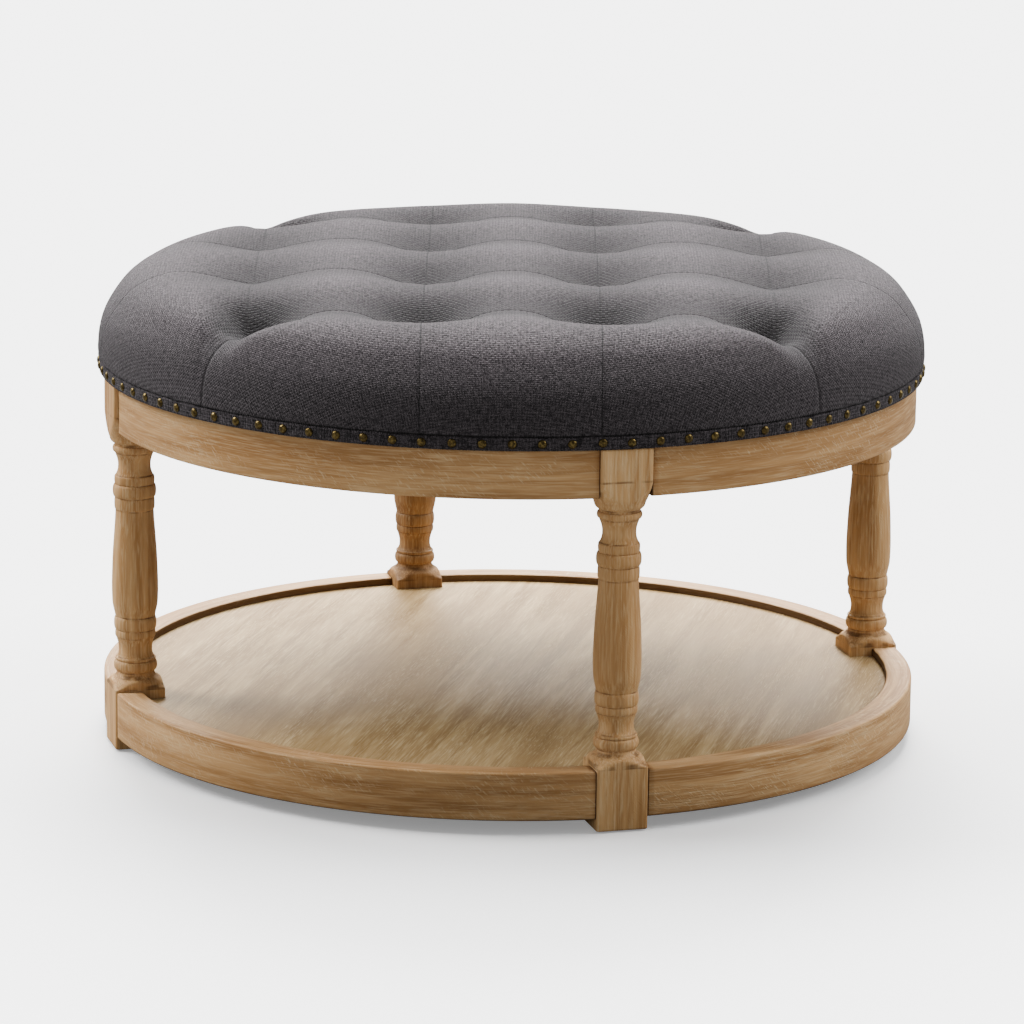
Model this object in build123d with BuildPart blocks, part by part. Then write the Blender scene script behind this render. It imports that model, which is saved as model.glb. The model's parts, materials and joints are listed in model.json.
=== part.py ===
from build123d import *
import os
from math import cos, radians, sin, sqrt, tan

os.makedirs("parts", exist_ok=True)

# Round ottoman coffee table: four turned legs joined by an apron ring and a rimmed
# shelf, under a padded seat with sewn channels, blind tufts and a nailed trim band.
# Sizes are millimetres. The origin is on the floor below the middle, +Z is up, and
# one leg stands on each of the X and Y axes, the front one on -Y.

# Clearances and overruns
joint_gap = 0.2
soft_gap = 0.3
cut_over = 2.0

# Legs
leg_circle_radius = 424.5
block_size = 56.0
arris = 1.5
turning_flats = 20
pad_height = 2.0
pad_diameter = 26.0
pad_sides = 16
foot_block_top = 68.0
upper_block_bottom = 374.0

# Apron ring
apron_bottom = 356.0
apron_height = 52.0
apron_setback = 4.5
apron_thickness = 22.0
apron_easing = 1.5

# Shelf rim and its panel
rim_bottom = 15.0
rim_height = 51.5
rim_setback = 1.0
rim_thickness = 28.5
rim_easing = 2.0
shelf_drop = 8.5
shelf_thickness = 15.0
groove_depth = 8.0

# Stub tenons at the ends of every curved segment
tenon_length = 18.0
tenon_thickness = 10.0
tenon_height = 30.0

# Corner blocks behind the upper leg blocks, and cleats behind the lower ones
corner_width = 150.0
corner_depth = 30.0
corner_height = 40.0
corner_drop = 2.0
cleat_height = 26.0

# Hardware
bolt_diameter = 8.0
bolt_in_leg = 25.0
bolt_end = 5.0
nut_across_corners = 15.0
nut_height = 6.5
screw_diameter = 4.0
screw_head_diameter = 8.0
screw_head_height = 2.4
screw_bite = 9.0
screw_offset = 20.0
hole_clearance = 0.2

# Seat: deck, foam, and the crown of the quilted cover
deck_thickness = 12.0
deck_edge_gap = 0.5
fabric_thickness = 2.0
fabric_margin = 45.0
foam_height = 46.0
side_wadding = 18.0
seat_lap = 6.5
seat_side_height = 28.0
side_arc_radius = 93.0
side_arc_angle = 46.0
shoulder_arc_radius = 50.0
shoulder_arc_angle = 84.0
side_flats = 3
shoulder_flats = 2
dust_cover_thickness = 1.0
dust_cover_lap = 9.0

# Trim band and its nails
band_height = 14.0
band_thickness = 1.4
band_recess_lip = 1.7
seat_overhang = 0.3
nail_diameter = 9.5
nail_dome = 2.4
nail_face_diameter = 5.0
nail_sides = 6
nail_count = 92
nail_turn = 0.4

# Tufts and sewn channels: a square grid of four by four, turned against the legs
tuft_rows = 4
corner_tuft_inset = 58.9
tuft_turn = -15.5
tuft_depth = 40.0
channel_depth = 9.0
crest_depth = 1.0
quilt_flats = 6
twine_diameter = 3.0
twine_sink = 2.0
staple_length = 12.0
staple_width = 2.0
staple_thickness = 1.0

# Places worked out from the sizes above
half_block = block_size / 2
apron_outer_radius = leg_circle_radius + half_block - apron_setback
rim_outer_radius = leg_circle_radius + half_block - rim_setback
seat_radius = apron_outer_radius + seat_lap
leg_inner = leg_circle_radius - half_block
apron_top = apron_bottom + apron_height
apron_inner_radius = apron_outer_radius - apron_thickness
rim_top = rim_bottom + rim_height
rim_inner_radius = rim_outer_radius - rim_thickness
shelf_top = rim_top - shelf_drop
shelf_bottom = shelf_top - shelf_thickness
deck_bottom = apron_top + fabric_thickness + soft_gap
deck_top = deck_bottom + deck_thickness
seat_side_top = apron_top + seat_side_height
waist_radius = seat_radius - band_thickness - soft_gap - seat_overhang
band_outer_radius = waist_radius + soft_gap + band_thickness
fabric_inner_radius = seat_radius - fabric_margin
deck_radius = waist_radius - fabric_thickness - deck_edge_gap
corner_inner = leg_inner - corner_depth
corner_bottom = apron_top - corner_drop - corner_height
tuft_pitch = (seat_radius - corner_tuft_inset) * sqrt(2) / (tuft_rows - 1)
tuft_lines = [tuft_pitch * (row - (tuft_rows - 1) / 2) for row in range(tuft_rows)]

# Crown of the seat: a side arc, a tighter shoulder arc and a wide dome, each
# tangent to the next
side_arc_centre = (seat_radius - side_arc_radius, seat_side_top)
shoulder_shift = side_arc_radius - shoulder_arc_radius
shoulder_arc_centre = (
    side_arc_centre[0] + shoulder_shift * cos(radians(side_arc_angle)),
    side_arc_centre[1] + shoulder_shift * sin(radians(side_arc_angle)),
)
dome_shift = shoulder_arc_centre[0] / cos(radians(shoulder_arc_angle))
dome_radius = dome_shift + shoulder_arc_radius
dome_centre_height = shoulder_arc_centre[1] - dome_shift * sin(radians(shoulder_arc_angle))

# Angle about Z of each leg from the front one, and of each segment from the one
# between the front and right legs
leg_turns = {"front": 0, "right": 90, "back": 180, "left": 270}
segment_turns = {"front_right": 0, "back_right": 90, "back_left": 180, "front_left": 270}

# The turned part of a leg, upwards, as its shoulders, beads, coves and vase. Each row is
# a height, as a share of the turned length, and a radius, as a share of half the block.
spindle_shares = [
    (0.000, 1.425),
    (0.033, 0.929),
    (0.056, 0.711),
    (0.067, 0.829),
    (0.086, 0.836),
    (0.104, 0.764),
    (0.137, 0.650),
    (0.183, 0.761),
    (0.216, 0.829),
    (0.242, 0.829),
    (0.259, 0.775),
    (0.301, 0.882),
    (0.379, 0.907),
    (0.503, 0.857),
    (0.647, 0.746),
    (0.696, 0.818),
    (0.729, 0.839),
    (0.745, 0.764),
    (0.771, 0.743),
    (0.812, 0.636),
    (0.860, 0.771),
    (0.871, 0.843),
    (0.886, 0.768),
    (0.892, 0.857),
    (1.000, 1.425),
]


def save(part, name):
    """Label one finished piece and write its file."""
    part.label = name
    export_step(part, f"parts/{name}.step")


def save_turned(part, name, turns):
    """Write a copy of a piece at each place around the table."""
    for place, turn in turns.items():
        with BuildPart() as copy:
            add(part, rotation=(0, 0, turn))
        save(copy.part, f"{name}_{place}")


def ring_points(radius, height, sides):
    """Corners of a level polygon of this radius about Z."""
    turns = [radians(360 * side / sides) for side in range(sides)]
    return [(radius * cos(turn), radius * sin(turn), height) for turn in turns]


def flat_sided(rings):
    """Solid with flat sides through level polygons of as many corners, upwards."""
    faces = [Face(Wire.make_polygon(ring)) for ring in (rings[0], rings[-1])]
    for low, high in zip(rings, rings[1:]):
        for corners in zip(low, low[1:] + low[:1], high[1:] + high[:1], high):
            faces.append(Face(Wire.make_polygon(corners)))
    return Solid(Shell(faces))


def tenon_middle(radius):
    """Distance from a leg's radial plane of a tenon on a ring of this middle radius."""
    return sqrt(radius**2 - half_block**2)


apron_tenon = tenon_middle(apron_outer_radius - apron_thickness / 2)
rim_tenon = tenon_middle(rim_outer_radius - rim_thickness / 2)
apron_tenon_bottom = apron_bottom + (apron_height - tenon_height) / 2
rim_tenon_bottom = rim_bottom + (rim_height - tenon_height) / 2
bolt_height = apron_top - corner_drop - corner_height / 2


# Front leg: a square blank turned between its two blocks, with four mortises and
# a bore for the hanger bolt. The turning is drawn in flats all round.
turned_height = upper_block_bottom - foot_block_top
blank_corner = spindle_shares[0][1] * half_block
turned_rings = [
    ring_points(share * half_block, foot_block_top + rise * turned_height, turning_flats)
    for rise, share in spindle_shares
]
turning = flat_sided([
    ring_points(blank_corner, pad_height, turning_flats),
    *turned_rings,
    ring_points(blank_corner, apron_top, turning_flats),
])
with BuildPart() as leg:
    with BuildSketch(Plane.XY.offset(pad_height)):
        with Locations((0, -leg_circle_radius)):
            Rectangle(block_size, block_size)
    extrude(amount=apron_top - pad_height)
    chamfer(leg.edges().filter_by(Axis.Z), arris)
    chamfer(leg.faces().sort_by(Axis.Z)[0].edges(), arris)
    with Locations((0, -leg_circle_radius)):
        add(turning, mode=Mode.INTERSECT)
    for tenon, bottom in ((apron_tenon, apron_tenon_bottom), (rim_tenon, rim_tenon_bottom)):
        with BuildSketch(Plane.XY.offset(bottom - joint_gap)):
            for side in (1, -1):
                with Locations((side * (half_block - tenon_length / 2), -tenon)):
                    Rectangle(tenon_length + 2 * joint_gap, tenon_thickness + 2 * joint_gap)
        extrude(amount=tenon_height + 2 * joint_gap, mode=Mode.SUBTRACT)
    with BuildSketch(Plane.XZ.offset(leg_inner)):
        with Locations((0, bolt_height)):
            RegularPolygon(bolt_diameter / 2 + hole_clearance, 6)
    extrude(amount=bolt_in_leg + joint_gap, mode=Mode.SUBTRACT)
save_turned(leg.part, "leg", leg_turns)


def ring_section(bottom, top, outer_radius, thickness, lower_easing, upper_easing):
    """Draw a rail's section, with its lower or upper outer edge eased."""
    inner_radius = outer_radius - thickness
    corners = [
        (inner_radius, bottom),
        (outer_radius - lower_easing, bottom),
        (outer_radius, bottom + lower_easing),
        (outer_radius, top - upper_easing),
        (outer_radius - upper_easing, top),
        (inner_radius, top),
    ]
    Polygon(*dict.fromkeys(corners), align=None)


def between_blocks(outer_radius):
    """Corners of the quarter that lies between the front and right leg blocks."""
    far = outer_radius + cut_over
    return [(half_block, -half_block), (half_block, -far), (far, -far), (far, -half_block)]


def add_tenons(middle, bottom):
    """Stub tenons at both ends of the segment between the front and right legs."""
    with BuildSketch(Plane.XY.offset(bottom)) as ends:
        with Locations((half_block - tenon_length / 2, -middle)):
            Rectangle(tenon_length, tenon_thickness)
        with Locations((middle, tenon_length / 2 - half_block)):
            Rectangle(tenon_thickness, tenon_length)
    extrude(ends.sketch, amount=tenon_height)


# Apron segment
with BuildPart() as apron:
    with BuildSketch(Plane.XZ):
        ring_section(apron_bottom, apron_top, apron_outer_radius, apron_thickness, apron_easing, 0)
    revolve(axis=Axis.Z)
    with BuildSketch(Plane.XY):
        Polygon(*between_blocks(apron_outer_radius), align=None)
    extrude(amount=apron_top, mode=Mode.INTERSECT)
    add_tenons(apron_tenon, apron_tenon_bottom)
save_turned(apron.part, "apron", segment_turns)

# Rim segment, with the groove that holds the edge of the shelf panel
with BuildPart() as rim:
    with BuildSketch(Plane.XZ):
        ring_section(rim_bottom, rim_top, rim_outer_radius, rim_thickness, 0, rim_easing)
    revolve(axis=Axis.Z)
    with BuildSketch(Plane.XY.offset(shelf_bottom)):
        Circle(rim_inner_radius + groove_depth + joint_gap)
    extrude(amount=shelf_thickness + joint_gap, mode=Mode.SUBTRACT)
    with BuildSketch(Plane.XY):
        Polygon(*between_blocks(rim_outer_radius), align=None)
    extrude(amount=rim_top, mode=Mode.INTERSECT)
    add_tenons(rim_tenon, rim_tenon_bottom)
save_turned(rim.part, "shelf_rim", segment_turns)

# Shelf panel, notched round the four leg blocks
with BuildPart() as panel:
    with BuildSketch(Plane.XY.offset(shelf_bottom)):
        Circle(rim_inner_radius + groove_depth)
        with PolarLocations(leg_circle_radius, len(leg_turns)):
            Rectangle(block_size + 2 * joint_gap, block_size + 2 * joint_gap, mode=Mode.SUBTRACT)
    extrude(amount=shelf_thickness)
save(panel.part, "shelf_panel")


def corner_outline(ring_radius):
    """Draw a block that hugs the inside of the front leg and reaches the ring beside it."""
    Circle(ring_radius - joint_gap)
    with Locations((0, corner_depth - leg_inner - leg_circle_radius / 2)):
        Rectangle(corner_width, leg_circle_radius, mode=Mode.INTERSECT)
    with Locations((0, -leg_circle_radius)):
        Rectangle(block_size + 2 * joint_gap, block_size, mode=Mode.SUBTRACT)


def hex_bar(diameter):
    """Draw the six-sided section of a bolt, screw or twine, or of its hole."""
    RegularPolygon(diameter / 2, 6)


def screw_pair():
    """Places of the two upright screws behind a leg, seen from above."""
    middle = corner_depth / 2 - leg_inner
    return Locations((-screw_offset, middle), (screw_offset, middle))


# Corner block behind the upper leg block, bored for the hanger bolt and for the two
# screws into the deck
with BuildPart() as corner:
    with BuildSketch(Plane.XY.offset(corner_bottom)):
        corner_outline(apron_inner_radius)
        with screw_pair():
            RegularPolygon(screw_diameter / 2 + hole_clearance, 6, mode=Mode.SUBTRACT)
    extrude(amount=corner_height)
    with BuildSketch(Plane.XZ):
        with Locations((0, bolt_height)):
            hex_bar(bolt_diameter + 2 * hole_clearance)
    extrude(amount=leg_circle_radius, mode=Mode.SUBTRACT)
save_turned(corner.part, "corner_block", leg_turns)

# Cleat under the shelf panel, glued to the foot block and the rim
with BuildPart() as cleat:
    with BuildSketch(Plane.XY.offset(shelf_bottom - cleat_height)):
        corner_outline(rim_inner_radius)
        with screw_pair():
            RegularPolygon(screw_diameter / 2 + hole_clearance, 6, mode=Mode.SUBTRACT)
    extrude(amount=cleat_height)
save_turned(cleat.part, "shelf_cleat", leg_turns)

# Felt pads under the feet
with BuildPart() as foot_pads:
    with BuildSketch(Plane.XY):
        with PolarLocations(leg_circle_radius, len(leg_turns)):
            RegularPolygon(pad_diameter / 2, pad_sides)
    extrude(amount=pad_height)
save(foot_pads.part, "foot_pads")

# Hanger bolt from the leg through the corner block, and its nut
with BuildPart() as bolt:
    with BuildSketch(Plane.XZ.offset(corner_inner - nut_height - bolt_end)):
        with Locations((0, bolt_height)):
            hex_bar(bolt_diameter)
    extrude(amount=corner_depth + nut_height + bolt_end + bolt_in_leg)
with BuildPart() as nut:
    with BuildSketch(Plane.XZ.offset(corner_inner - nut_height)):
        with Locations((0, bolt_height)):
            RegularPolygon(nut_across_corners / 2, 6)
            RegularPolygon(bolt_diameter / 2 + hole_clearance, 6, mode=Mode.SUBTRACT)
    extrude(amount=nut_height)


def upright_screw(bottom, length):
    """Pair of screws behind the front leg, heads down, whose shanks start at this height."""
    with BuildSketch(Plane.XY.offset(bottom - screw_head_height)) as heads:
        with screw_pair():
            hex_bar(screw_head_diameter)
    extrude(heads.sketch, amount=screw_head_height)
    with BuildSketch(Plane.XY.offset(bottom)) as shanks:
        with screw_pair():
            hex_bar(screw_diameter)
    extrude(shanks.sketch, amount=length)


# Screws through the corner blocks into the deck, and through the cleats to the shelf
with BuildPart() as deck_screw:
    upright_screw(corner_bottom, deck_bottom + screw_bite - corner_bottom)
with BuildPart() as shelf_screw:
    upright_screw(shelf_bottom - cleat_height, cleat_height)
for piece, name in (
    (bolt, "leg_bolts"),
    (nut, "leg_nuts"),
    (deck_screw, "deck_screws"),
    (shelf_screw, "shelf_screws"),
):
    with BuildPart() as group:
        with PolarLocations(0, len(leg_turns)):
            add(piece.part)
    save(group.part, name)

# Deck of the seat, bored where the tuft twine passes and where the screws bite
tuft_grid = Location((0, 0, 0), (0, 0, tuft_turn))
with BuildPart() as deck:
    with BuildSketch(Plane.XY.offset(deck_bottom)):
        Circle(deck_radius)
        with Locations(tuft_grid):
            with GridLocations(tuft_pitch, tuft_pitch, tuft_rows, tuft_rows):
                RegularPolygon(twine_diameter / 2 + hole_clearance, 6, mode=Mode.SUBTRACT)
    extrude(amount=deck_thickness)
    with BuildSketch(Plane.XY.offset(deck_bottom)):
        with PolarLocations(0, len(leg_turns)):
            with screw_pair():
                hex_bar(screw_diameter + 2 * hole_clearance)
    extrude(amount=screw_bite + joint_gap, mode=Mode.SUBTRACT)
save(deck.part, "seat_deck")


def bore_for_twine():
    """Bore the open part for the twine of every tuft."""
    with BuildSketch(Plane.XY) as bores:
        with Locations(tuft_grid):
            with GridLocations(tuft_pitch, tuft_pitch, tuft_rows, tuft_rows):
                hex_bar(twine_diameter + 2 * hole_clearance)
    extrude(bores.sketch, amount=dome_centre_height + dome_radius, mode=Mode.SUBTRACT)


# Foam slab on the deck
foam_radius = seat_radius - side_wadding
with BuildPart() as foam:
    with BuildSketch(Plane.XY.offset(deck_top)):
        Circle(foam_radius)
    extrude(amount=foam_height)
    bore_for_twine()
save(foam.part, "seat_foam")


def crown_height(across, along):
    """Height of the seat's dome at a place of the tuft grid."""
    return dome_centre_height + sqrt(dome_radius**2 - across**2 - along**2)


def near_tuft(place):
    """Nearness to the closest tuft line: 1 on the line, falling to 0 half a pitch away."""
    line = min(tuft_lines, key=lambda tuft_line: abs(tuft_line - place))
    return max(0, 1 - 2 * abs(place - line) / tuft_pitch) ** 2


def sewn_depth(across, along):
    """Depth of the quilted surface below the dome, at a seam line or a pillow's crest."""
    outside = max(abs(across), abs(along)) - tuft_lines[-1]
    corner = min(abs(across), abs(along)) > tuft_lines[-2] + tuft_pitch / 2
    tuft = near_tuft(across) * near_tuft(along)
    channel = max(near_tuft(across), near_tuft(along))
    if outside > 0 and corner:
        channel = tuft
    return crest_depth + channel_depth * channel + (tuft_depth - channel_depth) * tuft


def quilt_room():
    """Room above the quilted top, in the tuft grid, with its pillows drawn in flats."""
    edge = tuft_lines[-1] + tuft_pitch
    flats = (tuft_rows + 1) * quilt_flats
    places = [tuft_pitch * flat / quilt_flats - edge for flat in range(flats + 1)]
    rows = [
        [(across, along, crown_height(across, along) - sewn_depth(across, along)) for along in places]
        for across in places
    ]
    roof = [(across, along, peak + cut_over) for across in (-edge, edge) for along in (-edge, edge)]
    faces = [Face(Wire.make_polygon([roof[0], roof[1], roof[3], roof[2]]))]
    columns = list(zip(*rows))
    for side, ends in ((rows[0], (1, 0)), (rows[-1], (3, 2)), (columns[0], (2, 0)), (columns[-1], (3, 1))):
        faces.append(Face(Wire.make_polygon([*side, *[roof[end] for end in ends]])))
    for across in range(flats):
        for along in range(flats):
            near, far = rows[across][along : along + 2], rows[across + 1][along : along + 2]
            if (across + along) % 2:
                corners = [(near[0], far[0], far[1]), (near[0], far[1], near[1])]
            else:
                corners = [(near[0], far[0], near[1]), (far[0], far[1], near[1])]
            faces += [Face(Wire.make_polygon(corner)) for corner in corners]
    return Solid(Shell(faces))


def arc_flats(centre, radius, start, end, flats):
    """Points of an arc between two angles, as many flats apart."""
    angles = [radians(start + (end - start) * flat / flats) for flat in range(flats + 1)]
    return [(centre[0] + radius * cos(angle), centre[1] + radius * sin(angle)) for angle in angles]


# Quilted cover: fabric sewn to its wadding, shaped by channels and blind tufts, and
# turned in under the deck
waist_top = apron_top + band_height + soft_gap
side_arc = arc_flats(side_arc_centre, side_arc_radius, 0, side_arc_angle, side_flats)
shoulder_arc = arc_flats(
    shoulder_arc_centre, shoulder_arc_radius, side_arc_angle, shoulder_arc_angle, shoulder_flats
)
peak = shoulder_arc[-1][1] + shoulder_arc[-1][0] / tan(radians(shoulder_arc_angle))
with BuildPart() as cover:
    with BuildSketch(Plane.XZ):
        Polygon(
            (0, apron_top),
            (waist_radius, apron_top),
            (waist_radius, waist_top),
            (seat_radius, waist_top + band_recess_lip),
            *side_arc,
            *shoulder_arc[1:],
            (0, peak),
            align=None,
        )
    revolve(axis=Axis.Z)
    add(quilt_room(), rotation=(0, 0, tuft_turn), mode=Mode.SUBTRACT)
    with BuildSketch(Plane.XY.offset(apron_top + fabric_thickness)):
        Circle(foam_radius + soft_gap)
    extrude(amount=deck_thickness + foam_height + 2 * soft_gap, mode=Mode.SUBTRACT)
    with BuildSketch(Plane.XY.offset(apron_top + fabric_thickness)):
        Circle(deck_radius + soft_gap)
    extrude(amount=deck_thickness + 2 * soft_gap, mode=Mode.SUBTRACT)
    with BuildSketch(Plane.XY.offset(apron_top)):
        Circle(fabric_inner_radius)
    extrude(amount=fabric_thickness, mode=Mode.SUBTRACT)
    bore_for_twine()
save(cover.part, "seat_cover")

# Trim band round the foot of the cover
with BuildPart() as band:
    with BuildSketch(Plane.XY.offset(apron_top)):
        Circle(band_outer_radius)
        Circle(waist_radius + soft_gap, mode=Mode.SUBTRACT)
    extrude(amount=band_height)
save(band.part, "trim_band")

# Nail heads along the middle of the band
nail_head = flat_sided([
    ring_points(nail_diameter / 2, 0, nail_sides),
    ring_points(nail_face_diameter / 2, nail_dome, nail_sides),
])
with BuildPart() as nail:
    with Locations(Plane(origin=(0, -band_outer_radius, apron_top + band_height / 2), z_dir=(0, -1, 0))):
        add(nail_head)
with BuildPart() as nails:
    with PolarLocations(0, nail_count, start_angle=nail_turn):
        add(nail.part)
save(nails.part, "trim_nails")

# Dust cover under the deck, lapped over the turned-in edge of the fabric
with BuildPart() as dust_cover:
    with BuildSketch(Plane.XY.offset(apron_top - dust_cover_thickness)):
        Circle(fabric_inner_radius + dust_cover_lap)
        with PolarLocations(leg_circle_radius, len(leg_turns)):
            Rectangle(block_size + 2 * joint_gap, block_size + 2 * joint_gap, mode=Mode.SUBTRACT)
        with PolarLocations(0, len(leg_turns)):
            with screw_pair():
                RegularPolygon(screw_diameter / 2 + hole_clearance, 6, mode=Mode.SUBTRACT)
    extrude(amount=dust_cover_thickness)
save(dust_cover.part, "dust_cover")

# Tuft twine, from just below the bottom of each tuft to a staple under the deck
with BuildPart() as twine:
    for across in tuft_lines:
        for along in tuft_lines:
            top = crown_height(across, along) - sewn_depth(across, along) - twine_sink
            with BuildSketch(Plane.XY.offset(deck_bottom)):
                with Locations((across, along)):
                    hex_bar(twine_diameter)
            extrude(amount=top - deck_bottom)
with BuildPart() as staple:
    with BuildSketch(Plane.XY.offset(deck_bottom - staple_thickness)):
        with GridLocations(tuft_pitch, tuft_pitch, tuft_rows, tuft_rows):
            Rectangle(staple_length, staple_width)
    extrude(amount=staple_thickness)
for piece, name in ((twine, "tuft_twine"), (staple, "tuft_staples")):
    with BuildPart() as group:
        add(piece.part, rotation=(0, 0, tuft_turn))
    save(group.part, name)
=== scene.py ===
"""Round ottoman coffee table: a tufted linen seat on limed, turned legs with a rimmed shelf.

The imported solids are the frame. Each class below dresses one sub-assembly of it.
"""

import json
import logging
import math
from dataclasses import dataclass
from enum import Enum

import bmesh
import bpy
import numpy as np
from mathutils import Matrix, Vector
from mathutils.bvhtree import BVHTree

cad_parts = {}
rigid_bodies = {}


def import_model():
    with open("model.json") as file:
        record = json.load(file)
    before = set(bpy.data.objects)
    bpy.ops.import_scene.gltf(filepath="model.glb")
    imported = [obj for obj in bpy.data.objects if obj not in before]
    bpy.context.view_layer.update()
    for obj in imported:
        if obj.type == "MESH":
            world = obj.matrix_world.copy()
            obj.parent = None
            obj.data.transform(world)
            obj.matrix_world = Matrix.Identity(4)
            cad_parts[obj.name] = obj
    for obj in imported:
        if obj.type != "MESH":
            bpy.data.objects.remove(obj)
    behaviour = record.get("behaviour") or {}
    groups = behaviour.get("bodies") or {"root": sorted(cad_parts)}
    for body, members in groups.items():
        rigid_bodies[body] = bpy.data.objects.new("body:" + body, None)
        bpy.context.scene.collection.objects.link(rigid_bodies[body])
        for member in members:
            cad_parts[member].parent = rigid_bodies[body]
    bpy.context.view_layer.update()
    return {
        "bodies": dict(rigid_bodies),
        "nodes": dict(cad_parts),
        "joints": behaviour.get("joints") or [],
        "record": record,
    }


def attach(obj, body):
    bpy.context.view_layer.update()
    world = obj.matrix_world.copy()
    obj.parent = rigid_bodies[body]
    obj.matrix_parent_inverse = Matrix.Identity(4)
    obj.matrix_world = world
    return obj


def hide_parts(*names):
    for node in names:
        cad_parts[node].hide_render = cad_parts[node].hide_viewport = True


LOG = logging.getLogger("ottoman")
MM = 0.001
# The tufts stand in rows that are turned against the legs by this many degrees.
TUFT_TURN = -15.49
# How far apart the tufts stand, and how far the inner and outer rows are from the middle.
TUFT_PITCH = 0.1865
INNER_ROW = TUFT_PITCH / 2
OUTER_ROW = TUFT_PITCH * 1.5
WHITE = (1.0, 1.0, 1.0, 1.0)
VECTOR = "NodeSocketVector"
FLOAT = "NodeSocketFloat"

Point = tuple[float, float]
Colour = tuple[float, float, float, float]
Faces = list[list[int]]
Piece = bpy.types.Object
Material = bpy.types.Material
Socket = bpy.types.NodeSocket
Tree = bpy.types.NodeTree
Array = np.ndarray
Sockets = bpy.types.bpy_prop_collection
Measure = float | Array
Level = float | Socket
Tone = Colour | Socket


def colour(red: int, green: int, blue: int) -> Colour:
    """Turn a display colour, from 0 to 255, into the linear one that shaders use."""
    parts = [value / 255 for value in (red, green, blue)]
    return (*(p / 12.92 if p <= 0.04045 else ((p + 0.055) / 1.055) ** 2.4 for p in parts), 1.0)


def smoothstep(low: float, high: float, value: Array) -> Array:
    """Rise smoothly from zero at low to one at high, which may lie below low."""
    share = np.clip((value - low) / (high - low), 0, 1)
    return share * share * (3 - 2 * share)


def hermite(marks: Array, way: Array, slopes: Array, fine: Array) -> Array:
    """Run a smooth curve through a few marks.

    Args:
        marks: The marks, along the last axis.
        way: How far along the curve each mark lies.
        slopes: The curve's slope at each mark.
        fine: How far along the curve it is read.

    Returns:
        The curve where it is read.
    """
    index = np.clip(np.searchsorted(way, fine, "right") - 1, 0, len(way) - 2)
    width = way[index + 1] - way[index]
    t = (fine - way[index]) / width
    return (
        (2 * t**3 - 3 * t**2 + 1) * marks[..., index]
        + (t**3 - 2 * t**2 + t) * width * slopes[..., index]
        + (3 * t**2 - 2 * t**3) * marks[..., index + 1]
        + (t**3 - t**2) * width * slopes[..., index + 1]
    )


def circle(steps: int) -> Array:
    """List evenly spaced angles round a full turn."""
    return np.linspace(0, 2 * math.pi, steps, endpoint=False)


def polar(radius: Measure, angle: Measure, height: Measure) -> Array:
    """Turn radii, angles and heights into points."""
    parts = np.broadcast_arrays(radius * np.cos(angle), radius * np.sin(angle), height)
    return np.stack(parts, axis=-1)


def skin(rows: int, columns: int, first: int = 0) -> Faces:
    """List the faces between neighbouring rows of points, each row closed on itself.

    Args:
        rows: How many rows there are.
        columns: How many points a row has.
        first: Number of the first point.

    Returns:
        Quads as lists of point numbers.
    """
    return [
        [low + here, low + after, low + columns + after, low + columns + here]
        for low in range(first, first + (rows - 1) * columns, columns)
        for here, after in enumerate([*range(1, columns), 0])
    ]


def fan(tip: int, first: int, columns: int, over: bool = False) -> Faces:
    """List the triangles from one point to a closed row, turned over if need be."""
    pairs = ((first + k, first + (k + 1) % columns) for k in range(columns))
    return [[tip, after, here] if over else [tip, here, after] for here, after in pairs]


def mesh_piece(name: str, points: Array, faces: Faces, smooth: bool = True) -> Piece:
    """Make a mesh object and put it in the scene.

    Args:
        name: Name of the piece.
        points: Its points, in metres.
        faces: Its faces, as lists of point numbers.
        smooth: Whether the faces are shaded smooth.

    Returns:
        The new object.
    """
    mesh = bpy.data.meshes.new(name)
    mesh.from_pydata([tuple(map(float, p)) for p in points], [], [list(map(int, f)) for f in faces])
    mesh.validate()
    if smooth:
        mesh.polygons.foreach_set("use_smooth", [True] * len(mesh.polygons))
    mesh.update()
    piece = bpy.data.objects.new(name, mesh)
    bpy.context.scene.collection.objects.link(piece)
    return piece


def set_mask(piece: Piece, name: str, values: Array) -> None:
    """Store one value for each point of a piece, for its material to read."""
    mask = piece.data.attributes.new(name, "FLOAT", "POINT")
    mask.data.foreach_set("value", np.asarray(values, np.float32))


def settle(piece: Piece, material: Material, slot: str, *nodes: str) -> None:
    """Dress a piece and let it ride in place of its solids.

    Args:
        piece: The piece.
        material: Its material.
        slot: The record's slot for its finish; not used.
        nodes: The solids that it stands for.
    """
    piece.data.materials.append(material)
    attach(piece, "root")
    if nodes:
        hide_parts(*nodes)
    LOG.info("%s: %d points", piece.name, len(piece.data.vertices))


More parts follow.
